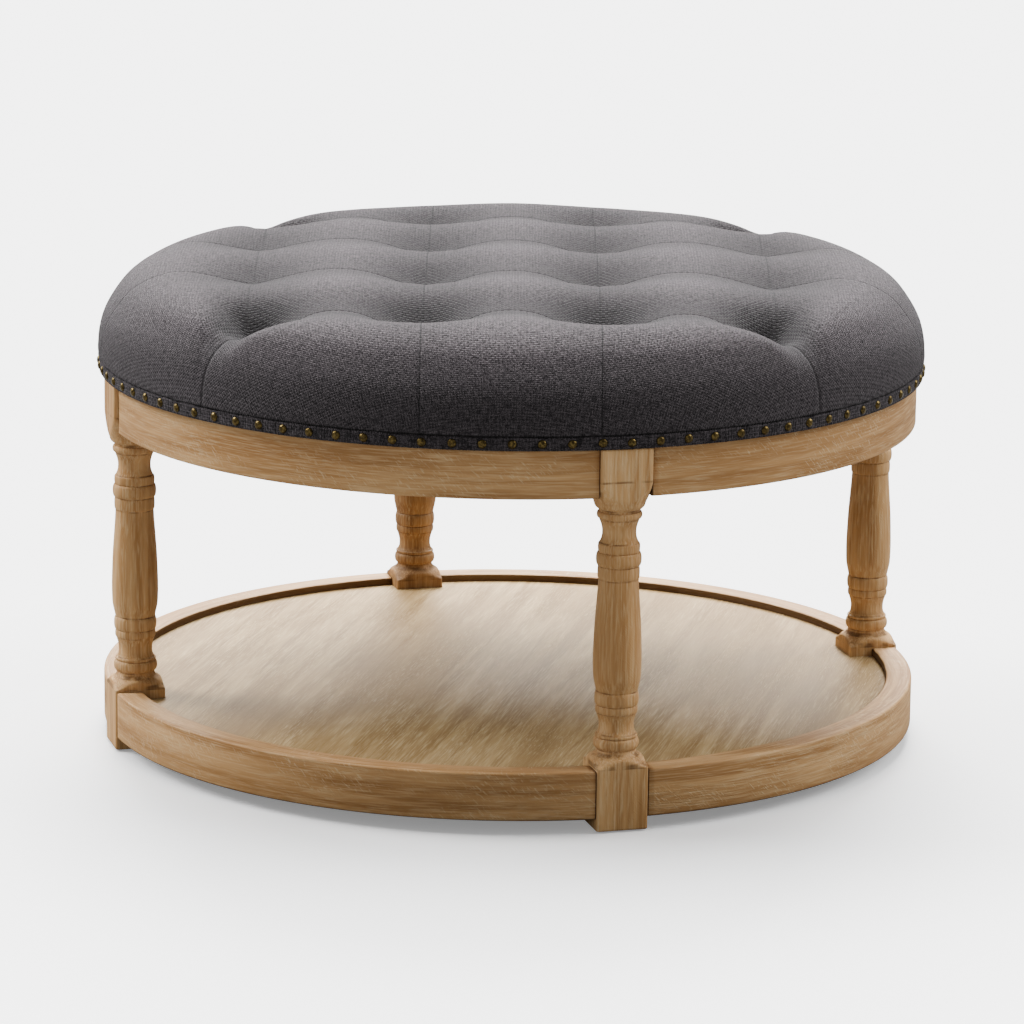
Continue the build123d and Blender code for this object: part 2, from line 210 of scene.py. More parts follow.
class NodeDesk:
    """Adds nodes to one node tree and links them."""

    def __init__(self, tree: Tree) -> None:
        """Keep the tree to work on."""
        self.tree = tree

    def feed(self, sockets: Sockets, values: dict) -> None:
        """Link sockets, or set their plain values.

        Args:
            sockets: The sockets to choose from.
            values: What goes into each, by its name or number: a socket or a plain value.
        """
        for name, value in values.items():
            if isinstance(value, Socket):
                self.tree.links.new(value, sockets[name])
            else:
                sockets[name].default_value = value

    def add(self, kind: str, links: dict | None = None, **settings: object) -> bpy.types.Node:
        """Add a node.

        Args:
            kind: The node's type.
            links: What goes into its sockets, each a socket or a plain value.
            settings: The node's own properties.

        Returns:
            The new node.
        """
        node = self.tree.nodes.new(kind)
        for name, value in settings.items():
            setattr(node, name, value)
        self.feed(node.inputs, links or {})
        return node

    def math(self, operation: str, *values: Level, clamp: bool = False) -> Socket:
        """Work out one number from sockets or plain numbers."""
        links = dict(enumerate(values))
        return self.add("ShaderNodeMath", links, operation=operation, use_clamp=clamp).outputs[0]

    def vector(self, x: Level, y: Level, z: Level) -> Socket:
        """Join three numbers into a vector."""
        return self.add("ShaderNodeCombineXYZ", {0: x, 1: y, 2: z}).outputs[0]

    def parts(self, vector: Socket) -> list[Socket]:
        """Split a vector into its three numbers."""
        return list(self.add("ShaderNodeSeparateXYZ", {0: vector}).outputs)

    def turn(self, vector: Socket, angle: float) -> Socket:
        """Turn a vector about the upright axis."""
        links = {"Vector": vector, "Angle": angle}
        return self.add("ShaderNodeVectorRotate", links, rotation_type="Z_AXIS").outputs[0]

    def radius(self, x: Socket, y: Socket) -> Socket:
        """Work out how far a place is from the upright axis."""
        squares = self.math("ADD", self.math("MULTIPLY", x, x), self.math("MULTIPLY", y, y))
        return self.math("SQRT", squares)

    def gap(self, value: Level, mark: Level) -> Socket:
        """Work out how far a value is from a mark."""
        return self.math("ABSOLUTE", self.math("SUBTRACT", value, mark))

    def vary(self, pattern: Socket, middle: float, spread: float) -> Socket:
        """Let a number vary about its middle with a pattern that runs from zero to one."""
        return self.math("MULTIPLY_ADD", pattern, spread, middle - spread / 2)

    def mask(self, name: str) -> Socket:
        """Read a mask that is stored on the piece."""
        return self.add("ShaderNodeAttribute", attribute_name=name).outputs["Fac"]

    def noise(self, place: Socket, fineness: tuple, detail: float, twist: float = 0.0) -> Socket:
        """Read a cloudy pattern.

        Args:
            place: Where the pattern is read.
            fineness: How fine it is in each direction.
            detail: How many finer layers it has.
            twist: How far it is bent by itself.

        Returns:
            The pattern's value, about 0.5 on average.
        """
        links = {0: place, 1: fineness}
        spread = self.add("ShaderNodeVectorMath", links, operation="MULTIPLY").outputs[0]
        links = {"Vector": spread, "Scale": 1, "Detail": detail, "Distortion": twist}
        return self.add("ShaderNodeTexNoise", links).outputs[0]

    def between(self, value: Level, low: float, high: float) -> Socket:
        """Rise smoothly from zero to one as a value goes from low to high."""
        links = {"Value": value, "From Min": low, "From Max": high}
        return self.add("ShaderNodeMapRange", links, interpolation_type="SMOOTHSTEP").outputs[0]

    def blend(self, share: Level, first: Tone, second: Tone) -> Socket:
        """Blend two colours, where the share says how much of the second shows."""
        links = {0: share, 6: first, 7: second}
        return self.add("ShaderNodeMix", links, data_type="RGBA").outputs[2]

    def tint(self, tone: Socket, mask: Socket, share: float, paint: Colour) -> Socket:
        """Lay a colour over a tone where a mask says, up to a share."""
        return self.blend(self.math("MULTIPLY", mask, share), tone, paint)

    def group(self, tree: Tree, links: dict) -> Sockets:
        """Place a shared effect, feed its inputs and give back its outputs."""
        return self.add("ShaderNodeGroup", links, node_tree=tree).outputs


class Surface:
    """A material under work, with the desk for its nodes."""

    def __init__(self, name: str) -> None:
        """Start the material.

        Args:
            name: The material's name.
        """
        self.material = bpy.data.materials.new(name)
        self.material.use_nodes = True
        self.desk = NodeDesk(self.material.node_tree)

    def place(self) -> Socket:
        """Read the place on the piece, in the piece's own frame."""
        return self.desk.add("ShaderNodeTexCoord").outputs["Object"]

    def bump(self, height: Socket, strength: float, depth: float) -> Socket:
        """Raise a pattern into relief of a depth in metres."""
        links = {"Height": height, "Strength": strength, "Distance": depth}
        return self.desk.add("ShaderNodeBump", links).outputs[0]

    def dress(self, inputs: dict) -> Material:
        """Feed the shader and give back the finished material."""
        self.desk.feed(self.material.node_tree.nodes["Principled BSDF"].inputs, inputs)
        return self.material


class SharedEffects:
    """The node groups that more than one finish places."""

    # How fine each pattern of the wood is along, across and through the grain.
    FIGURE = (3.2, 52, 52)
    FIBRE = (26, 520, 520)
    PORES = (60, 900, 900)
    PATCHES = (6, 16, 16)
    SCRATCHES = (130, 640, 130)
    WEAR = (9, 26, 26)
    # How the scratches slant across the grain, in radians.
    SCRATCH_TURN = 0.75
    # The radius at which a ring's grain keeps its true length, in metres.
    RING_RADIUS = 0.45
    # The height below which the cloth hangs down the sides, in metres.
    FOLD_HEIGHT = 0.516
    # How fine the yarn's bends, its thicker lengths both ways, and its specks are.
    BENDS = (60, 60, 60)
    SLUBS = ((120, 420, 1), (420, 120, 1))
    SPECKS = (620, 620, 1)

    def __init__(self) -> None:
        """Build every shared group once."""
        self.ring_lay = self._ring_lay()
        self.wood_grain = self._wood_grain()
        self.cloth_lay = self._cloth_lay()
        self.weave = self._weave()

    @staticmethod
    def _start(name: str, inputs: dict, outputs: dict) -> tuple:
        """Make an empty group.

        Args:
            name: Name of the group.
            inputs: Kind of each input, by name.
            outputs: Kind of each output, by name.

        Returns:
            The tree, its desk, and the sockets that it is given and that hold its result.
        """
        tree = bpy.data.node_groups.new(name, "ShaderNodeTree")
        for direction, sockets in (("INPUT", inputs), ("OUTPUT", outputs)):
            for label, kind in sockets.items():
                tree.interface.new_socket(label, in_out=direction, socket_type=kind)
        desk = NodeDesk(tree)
        return tree, desk, desk.add("NodeGroupInput").outputs, desk.add("NodeGroupOutput").inputs

    def _ring_lay(self) -> Tree:
        """Lay the grain round a ring: along, up and through.

        Returns:
            The node group.
        """
        tree, desk, given, result = self._start("ring_lay", {"Place": VECTOR}, {"Lay": VECTOR})
        x, y, z = desk.parts(given["Place"])
        along = desk.math("MULTIPLY", desk.math("ARCTAN2", y, x), self.RING_RADIUS)
        desk.feed(result, {"Lay": desk.vector(along, z, desk.radius(x, y))})
        return tree

    def _wood_grain(self) -> Tree:
        """Figure, fibres, pores and scuffs of brushed wood, along the first part of the lay.

        Returns:
            The node group.
        """
        labels = ("Figure", "Fibre", "Pores", "Scuffs", "Height")
        tree, desk, given, result = self._start(
            "wood_grain", {"Lay": VECTOR}, dict.fromkeys(labels, FLOAT)
        )
        lay = given["Lay"]
        figure = desk.noise(lay, self.FIGURE, 4, 1.1)
        fibre = desk.noise(lay, self.FIBRE, 2, 0.3)
        pores = desk.between(desk.noise(lay, self.PORES, 1, 0.4), 0.54, 0.68)
        patches = desk.between(desk.noise(lay, self.PATCHES, 2, 0.5), 0.46, 0.62)
        pores = desk.math("MULTIPLY", pores, desk.math("MULTIPLY_ADD", patches, 0.8, 0.2))
        slanted = desk.turn(lay, self.SCRATCH_TURN)
        scratches = desk.between(desk.noise(slanted, self.SCRATCHES, 1, 0.3), 0.56, 0.74)
        worn = desk.between(desk.noise(lay, self.WEAR, 2), 0.42, 0.6)
        scuffs = desk.math("MULTIPLY", scratches, worn)
        height = desk.math("SUBTRACT", desk.math("MULTIPLY", fibre, 0.55), pores)
        height = desk.math("ADD", height, desk.math("MULTIPLY", scuffs, 0.5))
        desk.feed(result, dict(zip(labels, (figure, fibre, pores, scuffs, height))))
        return tree

    def _cloth_lay(self) -> Tree:
        """Lay a square cloth over the crown, so that its threads run on down the sides.

        Returns:
            The node group.
        """
        tree, desk, given, result = self._start(
            "cloth_lay", {"Place": VECTOR}, {"Lay": VECTOR, "Plan": VECTOR}
        )
        plan = desk.turn(given["Place"], math.radians(-TUFT_TURN))
        x, y, z = desk.parts(plan)
        radius = desk.radius(x, y)
        fall = desk.math("MAXIMUM", desk.math("SUBTRACT", self.FOLD_HEIGHT, z), 0.0)
        fall = desk.math("DIVIDE", fall, desk.math("MAXIMUM", radius, 0.1))
        grown = desk.math("MULTIPLY_ADD", fall, desk.between(radius, 0.38, 0.45), 1.0)
        lay = desk.vector(desk.math("MULTIPLY", x, grown), desk.math("MULTIPLY", y, grown), 0.0)
        desk.feed(result, {"Lay": lay, "Plan": plan})
        return tree

    def _weave(self) -> Tree:
        """Plain weave of slubbed yarn: its height, its light and dark threads and its gaps.

        Returns:
            The node group.
        """
        tree, desk, given, result = self._start(
            "weave",
            {"Lay": VECTOR, "Threads": FLOAT},
            {"Height": FLOAT, "Heather": FLOAT, "Gaps": FLOAT},
        )
        lay = given["Lay"]
        bend = desk.math("SUBTRACT", desk.noise(lay, self.BENDS, 1), 0.5)
        shift = desk.math("MULTIPLY", bend, 0.9)
        waves = []
        for part in desk.parts(lay)[:2]:
            count = desk.math("MULTIPLY", part, given["Threads"])
            waves.append(desk.math("ADD", desk.math("MULTIPLY", count, math.pi), shift))
        warp, weft = [desk.math("ABSOLUTE", desk.math("SINE", wave)) for wave in waves]
        over = desk.math("MULTIPLY", *[desk.math("COSINE", wave) for wave in waves])
        over = desk.between(over, -0.15, 0.15)
        warp = desk.math("MULTIPLY", warp, desk.math("SUBTRACT", 1.0, over))
        height = desk.math("ADD", warp, desk.math("MULTIPLY", weft, over))
        slubs = desk.math("ADD", *[desk.noise(lay, fineness, 1) for fineness in self.SLUBS])
        specks = desk.math("MULTIPLY", desk.noise(lay, self.SPECKS, 1), 0.4)
        heather = desk.math("ADD", desk.math("MULTIPLY", slubs, 0.3), specks)
        gaps = desk.between(height, 0.75, 0.15)
        desk.feed(result, {"Height": height, "Heather": heather, "Gaps": gaps})
        return tree


class GrainLay(Enum):
    """Which way the grain of a wooden piece runs."""

    ROUND = "round the ring"
    UPRIGHT = "up the leg"
    BOARD = "across the shelf"


@dataclass(frozen=True)
class LimedWood:
    """Brushed hardwood with pale filler in its pores."""

    name: str
    lay: GrainLay
    dark: Colour = colour(162, 118, 71)
    mid: Colour = colour(208, 165, 112)
    pale: Colour = colour(225, 194, 147)
    # Colour of the pale lime filler in the pores and scuffs.
    lime_and_groove_shade: Colour = colour(226, 204, 163)
    # Colour of the painted shade in the turned grooves.
    groove_shade_tone: Colour = colour(84, 58, 34)
    shadow: Colour = colour(52, 36, 22)
    roughness: float = 0.6
    fibre_roughness: float = 0.16
    coat: float = 0.03
    coat_roughness: float = 0.35
    shine: float = 0.1
    relief: float = 0.0006
    board_turn: float = 28.6
    fibres: float = 0.55
    clouds: float = 0.4
    scuffs: float = 0.0
    filler: float = 0.2
    # How much painted shade darkens the turned grooves.
    groove_shade: float = 0.72
    shadows: float = 0.82
    # Where a ring's shadow starts and where it is full: at its inner wall, its joints, its foot.
    wall: Point = (0.4242, 0.4232)
    joint: Point = (0.0296, 0.0286)
    foot: Point = (0.0174, 0.0152)

    def build(self, effects: SharedEffects) -> Material:
        """Make the material.

        Args:
            effects: The shared node groups.

        Returns:
            The material.
        """
        surface = Surface(self.name)
        desk, place = surface.desk, surface.place()
        lay = self._lay(desk, place, effects)
        grain = desk.group(effects.wood_grain, {"Lay": lay})
        tone = desk.blend(desk.between(grain["Figure"], 0.3, 0.72), self.dark, self.mid)
        tone = desk.tint(tone, desk.between(grain["Fibre"], 0.42, 0.75), self.fibres, self.pale)
        cloud = desk.between(desk.noise(lay, (3.5, 11, 11), 3, 0.6), 0.36, 0.66)
        tone = desk.tint(tone, cloud, self.clouds, self.dark)
        tone = desk.tint(tone, grain["Scuffs"], self.scuffs, self.lime_and_groove_shade)
        tone = desk.tint(tone, grain["Pores"], self.filler, self.lime_and_groove_shade)
        # Painted shade: the turned grooves are darkened, in patches, towards the groove colour.
        patchy = desk.between(desk.noise(place, (90, 90, 90), 2), 0.35, 0.7)
        held = desk.math("MULTIPLY", desk.mask("lime_and_groove_shade"), patchy, clamp=True)
        tone = desk.tint(tone, held, self.groove_shade, self.groove_shade_tone)
        # Painted shade on a ring's inner wall, at its joints with the legs and along its foot.
        if self.lay is GrainLay.ROUND:
            tone = desk.tint(tone, self._ring_shade(desk, place), self.shadows, self.shadow)
        return surface.dress({
            "Base Color": tone,
            "Roughness": desk.vary(grain["Fibre"], self.roughness, self.fibre_roughness),
            "Specular IOR Level": self.shine,
            "Coat Weight": self.coat,
            "Coat Roughness": self.coat_roughness,
            "Normal": surface.bump(grain["Height"], 0.5, self.relief),
        })

    def _lay(self, desk: NodeDesk, place: Socket, effects: SharedEffects) -> Socket:
        """Turn a place so that the grain runs along its first part.

        Args:
            desk: The material's desk.
            place: The place on the piece.
            effects: The shared node groups.

        Returns:
            The place along, across and through the grain.
        """
        if self.lay is GrainLay.ROUND:
            return desk.group(effects.ring_lay, {"Place": place})["Lay"]
        if self.lay is GrainLay.UPRIGHT:
            x, y, z = desk.parts(place)
            return desk.vector(z, x, y)
        return desk.turn(place, math.radians(self.board_turn - 90))

    def _ring_shade(self, desk: NodeDesk, place: Socket) -> Socket:
        """Find a ring's inner wall, its joints with the legs and its foot, where shade is painted.

        Args:
            desk: The material's desk.
            place: The place on the piece.

        Returns:
            One in those places, and zero elsewhere.
        """
        x, y, z = desk.parts(place)
        wall = desk.between(desk.radius(x, y), *self.wall)
        beside = desk.math("MINIMUM", desk.math("ABSOLUTE", x), desk.math("ABSOLUTE", y))
        foot = desk.between(z, *self.foot)
        shade = desk.math("MAXIMUM", wall, foot)
        return desk.math("MAXIMUM", shade, desk.between(beside, *self.joint))


@dataclass(frozen=True)
class SeatLinen:
    """Charcoal linen weave with sewn seams on the tuft lines."""

    name: str = "charcoal_linen"
    dark: Colour = colour(32, 29, 31)
    mid: Colour = colour(59, 54, 56)
    pale: Colour = colour(106, 99, 102)
    gap_tone: Colour = colour(18, 16, 17)
    # Colour of the painted shade in the hollows and down the sides.
    hollow_and_side_shade_tone: Colour = colour(14, 13, 14)
    # Colour of the seams, with painted shade in their creases.
    seam_crease_shade_tone: Colour = colour(24, 22, 23)
    # Colour of the painted shadow line under the fold.
    fold_shadow_tone: Colour = colour(14, 13, 13)
    sheen_tone: Colour = colour(214, 210, 212)
    threads: float = 310.0
    seams: bool = True
    evenness: float = 0.3
    gaps: float = 0.5
    # How much painted shade darkens the hollows and the sides.
    hollow_and_side_shade: float = 0.88
    seam: float = 0.85
    # The height of the fold above the band, and how far from it its painted shadow line starts and
    # is full.
    fold: float = 0.4232
    fold_shadow_line: Point = (0.0016, 0.0006)
    # How far from a seam its dark line, the seam itself with painted shade in its crease, starts
    # and is full, how wide its valley is, and how deep.
    seam_shade_line: Point = (0.0011, 0.0003)
    valley: float = 0.004
    valley_depth: float = 1.6
    roughness: float = 0.92
    shine: float = 0.12
    sheen: float = 0.1
    sheen_roughness: float = 0.45
    relief: float = 0.0011

    def build(self, effects: SharedEffects) -> Material:
        """Make the material.

        Args:
            effects: The shared node groups.

        Returns:
            The material.
        """
        surface = Surface(self.name)
        desk, place = surface.desk, surface.place()
        cloth = desk.group(effects.cloth_lay if self.seams else effects.ring_lay, {"Place": place})
        weave = desk.group(effects.weave, {"Lay": cloth["Lay"], "Threads": self.threads})
        tone = desk.blend(desk.between(weave["Heather"], 0.38, 0.62), self.dark, self.pale)
        tone = desk.blend(self.evenness, tone, self.mid)
        tone = desk.tint(tone, weave["Gaps"], self.gaps, self.gap_tone)
        height = weave["Height"]
        if self.seams:
            # Painted shade in the tufts' hollows and channels and down the cushion's sides.
            tone = desk.tint(tone, desk.mask("hollow_and_side_shade"), self.hollow_and_side_shade, self.hollow_and_side_shade_tone)
            # The seams as dark lines: the seam itself, with painted shade in its crease.
            near = self._seam_gap(desk, cloth["Plan"])
            line = desk.between(near, *self.seam_shade_line)
            tone = desk.tint(tone, line, self.seam, self.seam_crease_shade_tone)
            rise = desk.math("MULTIPLY", desk.between(near, 0.0, self.valley), self.valley_depth)
            height = desk.math("ADD", height, rise)
            # Painted shadow: a dark line where the cushion folds in over the band.
            line = desk.between(desk.gap(desk.parts(place)[2], self.fold), *self.fold_shadow_line)
            tone = desk.tint(tone, line, self.seam, self.fold_shadow_tone)
        return surface.dress({
            "Base Color": tone,
            "Roughness": self.roughness,
            "Specular IOR Level": self.shine,
            "Sheen Weight": self.sheen,
            "Sheen Roughness": self.sheen_roughness,
            "Sheen Tint": self.sheen_tone,
            "Normal": surface.bump(height, 1.0, self.relief),
        })

    @staticmethod
    def _seam_gap(desk: NodeDesk, plan: Socket) -> Socket:
        """Work out how far each place is from the nearest seam.

        Args:
            desk: The material's desk.
            plan: The place in the rows' own directions.

        Returns:
            The distance in metres.
        """
        x, y, _ = desk.parts(plan)
        across, along = desk.math("ABSOLUTE", x), desk.math("ABSOLUTE", y)
        slant = desk.math("MULTIPLY", desk.gap(across, along), math.sqrt(0.5))
        inside = desk.math("LESS_THAN", desk.math("MINIMUM", across, along), OUTER_ROW)
        nearest = desk.math("ADD", slant, inside)
        for value, other in ((across, along), (along, across)):
            beyond = desk.math("GREATER_THAN", other, OUTER_ROW)
            outer = desk.math("ADD", desk.gap(value, OUTER_ROW), beyond)
            nearest = desk.math("MINIMUM", nearest, desk.gap(value, INNER_ROW))
            nearest = desk.math("MINIMUM", nearest, outer)
        return nearest


@dataclass(frozen=True)
class PlainFinish:
    """A simple finish with a little cloudiness, for metal, felt, twine and hidden wood."""

    name: str
    tone: Colour
    second: Colour
    roughness: float
    metallic: float = 0.0
    grain: float = 180.0
    bump: float = 0.0002

    def build(self) -> Material:
        """Make the material.

        Returns:
            The material.
        """
        surface = Surface(self.name)
        desk = surface.desk
        cloud = desk.noise(surface.place(), (self.grain,) * 3, 4)
        return surface.dress({
            "Base Color": desk.blend(desk.between(cloud, 0.32, 0.68), self.tone, self.second),
            "Roughness": desk.vary(cloud, self.roughness, 0.2),
            "Metallic": self.metallic,
            "Normal": surface.bump(cloud, 0.5, self.bump),
        })


@dataclass
class TurnedLegs:
    """Four turned legs, square at the shelf and at the seat frame, with coves, beads and a vase."""

    circle_radius: float = 0.4245
    half_block: float = 0.028
    corner_power: float = 20.0
    bottom: float = 0.002
    foot_block_top: float = 0.0672
    head_block_foot: float = 0.3748
    top: float = 0.408
    flats: int = 112
    crowding: float = 0.7
    ease: float = 0.0012
    soft_edge: float = 0.0007
    uncut_radius: float = 0.06
    # How sharply the turning bends inwards where painted shade in its grooves starts and is full.
    groove_shade_bend: Point = (20, 260)
    run_step: float = 0.9
    bead_points: int = 15

    def profile(self) -> Array:
        """Trace the turning from the shelf block to the upper block.

        Returns:
            Heights and radii in metres, in rising order.
        """
        heights, radii = [], []

        def run(*points: Point) -> None:
            """Add a smooth run through a few points."""
            z, r = np.array(points, float).T
            fine = np.arange(z[0], z[-1], self.run_step)
            heights.extend(fine)
            radii.extend(hermite(r, z, np.gradient(r, z), fine))

        def bead(low: float, high: float, foot: float, crest: float) -> None:
            """Add a round bead.

            Args:
                low: Height of its lower end.
                high: Height of its upper end.
                foot: Radius at its ends.
                crest: Radius at its middle.
            """
            angles = np.linspace(0, math.pi, self.bead_points)
            middle, half = (low + high) / 2, (high - low) / 2
            heights.extend(middle - half * np.cos(angles))
            radii.extend(foot + (crest - foot) * np.sin(angles) ** 0.8)

        run((67.9, 39.6), (70.5, 34.6), (76.6, 27.9), (79.5, 23.2), (85.0, 19.9))
        bead(85.2, 97.4, 20.0, 23.8)
        bead(97.5, 100.6, 21.2, 22.2)
        run((100.7, 20.9), (103.5, 19.3), (110.5, 18.3), (118, 19.4), (123.4, 21.2))
        bead(123.6, 131.4, 21.2, 22.2)
        bead(131.9, 146.4, 21.3, 23.3)
        run(
            (147.0, 21.9), (150, 22.5), (160.7, 24.7), (172, 25.3), (183, 25.4), (197.9, 25.0),
            (219, 24.1), (241, 22.5), (258, 21.3), (266.6, 20.9),
        )
        bead(266.8, 279.6, 21.2, 22.1)
        bead(280.3, 294.6, 21.3, 23.8)
        bead(295.1, 304.1, 21.1, 22.0)
        run((304.4, 20.6), (309, 18.7), (316.7, 17.8), (324, 19.0), (330.4, 21.4))
        bead(330.8, 338.0, 21.4, 23.7)
        run((338.2, 21.5), (340.0, 21.8), (342.1, 24.4), (349.5, 27.9), (356.6, 31.5), (374, 39.6))
        return np.stack([heights, radii], axis=1) * MM

    def surface(self) -> tuple[Array, Array]:
        """Work out the rows of points of one leg about its own axis.

        Returns:
            The rows of points, and how much filler each point holds.
        """
        line = self.profile()
        rise = self.ease * np.array([0, 0, 0.4, 1])
        ease = -self.ease * np.array([3, 1, 0.4, 0])
        below = np.linspace(self.bottom + 2 * self.ease, self.foot_block_top, 12)
        above = np.linspace(self.head_block_foot, self.top - 2 * self.ease, 10)
        z = np.concatenate([self.bottom + rise, below, line[:, 0], above, self.top - rise[::-1]])
        middle = np.zeros(len(below) + len(line) + len(above))
        inset = np.concatenate([ease, middle, ease[::-1]])
        start = len(rise) + len(below)
        end = start + len(line)
        turned = np.full(len(z), self.uncut_radius)
        turned[start:end] = line[:, 1]
        phase = circle(self.flats)
        angle = phase + self.crowding / 4 * np.sin(4 * phase)
        power = self.corner_power
        corner = np.abs(np.cos(angle)) ** power + np.abs(np.sin(angle)) ** power
        square = self.half_block / corner ** (1 / power) + inset[:, None]
        soft = self.soft_edge
        radius = -soft * np.logaddexp(-turned[:, None] / soft, -square / soft)
        rows = polar(np.minimum(radius, square), angle, z[:, None])
        spaced = z + np.arange(len(z)) * 1e-7
        # Painted shade goes where the turning is hollow: in its coves and grooves.
        lime_and_groove_shade = smoothstep(*self.groove_shade_bend, np.gradient(np.gradient(turned, spaced), spaced))
        lime_and_groove_shade[:start] = 0
        lime_and_groove_shade[end:] = 0
        return rows, np.repeat(lime_and_groove_shade[:, None], self.flats, 1)

    def build(self, material: Material, back: Material) -> None:
        """Make the four legs.

        Args:
            material: Their finish.
            back: The finish of the back leg, a darker copy of the leg finish that paints shade on
                it.
        """
        rows, lime_and_groove_shade = self.surface()
        count, columns = rows.shape[:2]
        faces = skin(count, columns)
        faces.append(list(range(columns))[::-1])
        faces.append([(count - 1) * columns + k for k in range(columns)])
        sides = {"front": -90, "right": 0, "back": 90, "left": 180}
        for side, turn in sides.items():
            spin = Matrix.Rotation(math.radians(turn), 3, "Z")
            points = rows.reshape(-1, 3) @ np.array(spin).T
            points += np.array(spin @ Vector((self.circle_radius, 0, 0)))
            piece = mesh_piece(f"turned_leg_{side}", points, faces)
            # The mask of painted shade in the grooves.
            set_mask(piece, "lime_and_groove_shade", lime_and_groove_shade.ravel())
            settle(piece, back if side == "back" else material, "limed_wood", f"leg_{side}")


@dataclass(frozen=True)
class RingSection:
    """A ring's section with eased corners, by its radii and heights in metres."""

    inner: float
    outer: float
    bottom: float
    top: float
    ease: float
    corner_points: int = 6

    def points(self) -> Array:
        """Trace the section.

        Returns:
            Radii and heights round the section.
        """
        inner, outer = self.inner + self.ease, self.outer - self.ease
        bottom, top = self.bottom + self.ease, self.top - self.ease
        points = []
        for radius, height, start in (
            (outer, bottom, -90), (outer, top, 0), (inner, top, 90), (inner, bottom, 180)
        ):
            for step in range(self.corner_points):
                angle = math.radians(start + 90 / (self.corner_points - 1) * step)
                out, up = self.ease * math.cos(angle), self.ease * math.sin(angle)
                points.append((radius + out, height + up))
        return np.array(points)


@dataclass
class RingFrames:
    """The curved aprons under the seat and the curved rims round the shelf."""

    leg_gap: float = 0.0281
    apron: RingSection = RingSection(0.426, 0.448, 0.356, 0.408, 0.0022)
    rim: RingSection = RingSection(0.423, 0.4515, 0.015, 0.0665, 0.0024)
    steps: int = 84

    def part(self, name: str, section: Array, start: float) -> Piece:
        """Make one quarter between two legs.

        Args:
            name: Name of the piece.
            section: Radii and heights round the section.
            start: Direction of the first leg, in degrees.

        Returns:
            The piece.
        """
        radius, height = section.T
        ends = np.arcsin(self.leg_gap / radius)
        rows = []
        for step in range(self.steps + 1):
            angle = math.radians(start) + ends + step / self.steps * (math.pi / 2 - 2 * ends)
            rows.append(polar(radius, angle, height))
        count = len(section)
        faces = [face[::-1] for face in skin(self.steps + 1, count)]
        faces.append(list(range(count)))
        faces.append([self.steps * count + k for k in range(count)][::-1])
        piece = mesh_piece(name, np.concatenate(rows), faces)
        for face in piece.data.polygons:
            face.use_smooth = len(face.vertices) == 4
        return piece

    def build(self, material: Material) -> None:
        """Make four aprons and four rims.

        Args:
            material: Their finish.
        """
        kinds = (("apron", "apron", self.apron.points()), ("rim", "shelf_rim", self.rim.points()))
        quarters = {"front_right": -90, "back_right": 0, "back_left": 90, "front_left": 180}
        for quarter, start in quarters.items():
            for kind, node, section in kinds:
                piece = self.part(f"curved_{kind}_{quarter}", section, start)
                settle(piece, material, "limed_wood", f"{node}_{quarter}")


